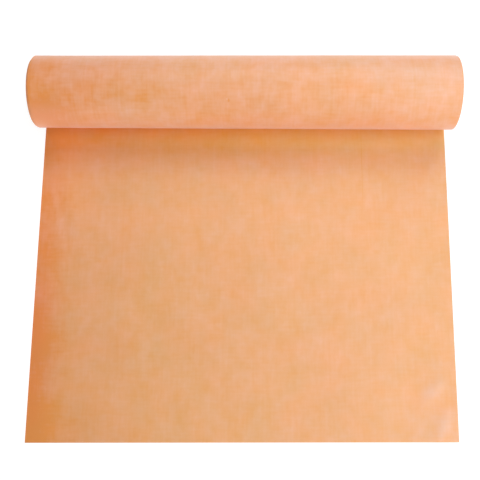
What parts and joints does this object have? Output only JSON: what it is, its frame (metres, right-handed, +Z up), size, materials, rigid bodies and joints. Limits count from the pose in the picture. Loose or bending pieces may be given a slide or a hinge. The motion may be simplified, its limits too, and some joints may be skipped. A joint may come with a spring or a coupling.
{
  "type": "waterproof membrane roll",
  "caption": "Roll of thin fleece-faced waterproof membrane lying on its side, its outer end unrolled flat on the floor in front of it.",
  "frame": {"origin": "on the axis of the roll's bore, halfway along the roll; the floor it lies on is 0.087 m below", "axes": "+X along the roll and its bore, +Z up from the floor, and the unrolled end lies towards -Y"},
  "size_m": [1, 0.907, 0.1739],
  "materials": {
    "fleece": "matt non-woven fleece"
  },
  "bodies": {
    "root": {"membrane": "fleece"}
  },
  "joints": []
}
